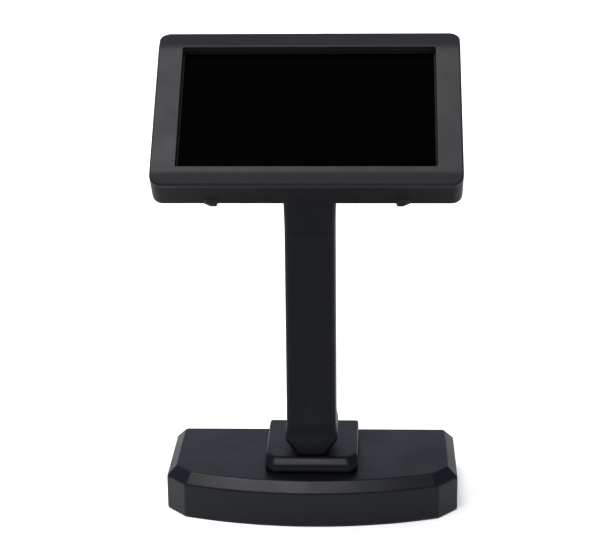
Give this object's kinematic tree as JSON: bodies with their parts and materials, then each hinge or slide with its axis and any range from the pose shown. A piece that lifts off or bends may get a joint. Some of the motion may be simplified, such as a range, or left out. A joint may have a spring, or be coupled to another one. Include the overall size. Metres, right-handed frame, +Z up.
{
  "type": "pos touchscreen terminal",
  "caption": "Wide touch display in a deep bezel on a tilting, swivelling pole that stands on a weighted D-shaped base with a raised block.",
  "frame": {"origin": "middle of the underside of the whole object's bounding box, on the surface it stands on", "axes": "+Z up, -Y towards the user and the screen side, +X to the right of a user facing the screen"},
  "size_m": [0.1908, 0.1326, 0.3103],
  "materials": {
    "bezel_abs": "fine moulded texture, satin",
    "housing_abs": "fine moulded texture, satin",
    "pole_paint": "satin black powder coat",
    "pole_abs": "satin moulded plastic",
    "base_abs": "fine moulded texture, satin",
    "button_abs": "smooth satin",
    "touch_glass": "black back-printed cover glass, polished",
    "gasket_foam": "closed-cell foam",
    "black_rubber": "moulded rubber",
    "lcd_glass": "laminated glass",
    "light_guide": "white reflector film",
    "sheet_steel": "zinc-plated sheet",
    "machined_steel": "turned steel",
    "cast_alloy": "die cast, bead blasted",
    "black_steel": "black oxide",
    "ballast_steel": "black painted plate",
    "circuit_board": "solder mask",
    "chip_plastic": "moulded epoxy",
    "flex_film": "polyimide film",
    "acetal": "natural acetal",
    "wire_jacket": "vinyl jacket",
    "connector_nylon": "natural nylon"
  },
  "bodies": {
    "base": {"base_cover": "base_abs", "pedestal_block": "base_abs", "base_plate": "black_steel", "ballast_plate": "ballast_steel", "rubber_feet": "black_rubber", "base_screws": "black_steel", "pedestal_screws": "machined_steel", "ballast_screws": "machined_steel", "swivel_bushing": "acetal", "thrust_washer": "black_rubber", "bearing_plate": "sheet_steel", "stop_pin": "machined_steel", "cable_grommet": "black_rubber"},
    "pole": {"pole_tube": "pole_paint", "neck_collar": "pole_abs", "hinge_knuckle": "cast_alloy", "knuckle_screws": "black_steel", "pole_boot": "pole_abs", "swivel_spindle": "cast_alloy", "boot_screws": "black_steel", "swivel_nut": "machined_steel", "swivel_spring_washer": "machined_steel", "stop_tab": "sheet_steel", "pole_harness": "wire_jacket", "harness_connector": "connector_nylon"},
    "head": {"front_bezel": "bezel_abs", "rear_housing": "housing_abs", "screen_gasket": "gasket_foam", "touch_glass": "touch_glass", "lcd_cell": "lcd_glass", "backlight_stack": "light_guide", "panel_tray": "sheet_steel", "mid_frame": "sheet_steel", "mid_frame_screws": "machined_steel", "main_board": "circuit_board", "main_board_parts": "chip_plastic", "driver_board": "circuit_board", "driver_board_parts": "chip_plastic", "board_screws": "machined_steel", "panel_ribbon": "flex_film", "board_link_cable": "flex_film", "button_board": "circuit_board", "button_switch": "chip_plastic", "button_board_screws": "machined_steel", "housing_screws": "black_steel", "bumper_feet": "black_rubber", "backing_plate": "sheet_steel", "hinge_bracket": "black_steel", "bracket_screws": "black_steel", "bracket_cover": "housing_abs", "head_grommet": "black_rubber", "hinge_shaft": "machined_steel", "hinge_nut": "machined_steel", "hinge_spring_washer": "machined_steel", "hinge_friction_washers": "acetal", "hinge_caps": "pole_abs"},
    "button": {"power_button": "button_abs"}
  },
  "joints": [
    {"name": "pole_swivel", "type": "hinge", "parent": "base", "child": "pole", "pos_m": [0, 0.00631, 0.04], "axis": [0, 0, 1], "range_deg": [-160, 160]},
    {"name": "head_tilt", "type": "hinge", "parent": "pole", "child": "head", "pos_m": [0, 0.00631, 0.244], "axis": [1, 0, 0], "range_deg": [-34, 38]},
    {"name": "power_press", "type": "slide", "parent": "head", "child": "button", "axis": [0, -0.744, -0.6682], "range_m": [0, 0.0007], "stiffness_N_per_m": 800, "springref_m": -0.001}
  ]
}
